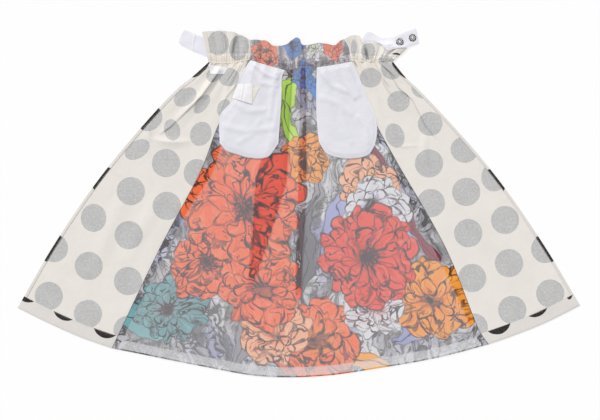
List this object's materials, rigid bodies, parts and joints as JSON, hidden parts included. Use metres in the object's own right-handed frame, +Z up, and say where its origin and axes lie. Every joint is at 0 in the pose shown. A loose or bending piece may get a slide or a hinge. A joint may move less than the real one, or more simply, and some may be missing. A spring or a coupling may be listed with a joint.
{
  "type": "sheer panelled skirt opened out flat, wrong side up",
  "caption": "Sheer-fronted panelled skirt laid open on a table, inside up, with gathered waist heading, hanging pocket bags, free lining, ribbon tabs and snaps.",
  "frame": {"origin": "on the table, under the middle of the laid-out skirt's bounding box", "axes": "+X along the hem to the right of the viewer who looks down on the wrong side, +Y from hem to waist, +Z up off the table"},
  "size_m": [1.406, 0.8724, 0.0122],
  "materials": {
    "dotted_cotton": "matt plain-woven cotton, cream, with large dots that are black on its right side and grey on the wrong side",
    "printed_sheer": "fine sheer organza with a soft sheen, painted with large flowers in coral, orange, teal, amber and grey",
    "sheer_lining": "thin white sheer lining, hazing what lies under it",
    "pocket_cloth": "opaque plain white lining cloth, matt, creased",
    "white_ribbon": "white satin ribbon, low sheen",
    "blank_label": "white woven label tape, blank",
    "cream_leaf": "cream label tape, blank",
    "snap_metal": "nickel-plated sew-on snap, satin, darker in its slots"
  },
  "bodies": {
    "root": {"panel_left": "dotted_cotton", "side_hem_left": "dotted_cotton", "hem_left": "dotted_cotton", "panel_right": "dotted_cotton", "side_hem_right": "dotted_cotton", "hem_right": "dotted_cotton", "panel_sheer": "printed_sheer", "lining_sheer": "sheer_lining", "lining_hem": "sheer_lining", "heading_left": "dotted_cotton", "heading_centre": "printed_sheer", "heading_right": "dotted_cotton", "heading_end_left": "dotted_cotton", "heading_end_right": "dotted_cotton", "pocket_left_under": "pocket_cloth", "pocket_left_upper": "pocket_cloth", "pocket_right_under": "pocket_cloth", "pocket_right_upper": "pocket_cloth", "tab_left": "white_ribbon", "tab_right": "white_ribbon", "label_strip": "blank_label", "label_care": "blank_label", "label_leaf": "cream_leaf", "snap_inner": "snap_metal", "snap_outer": "snap_metal"}
  },
  "joints": []
}
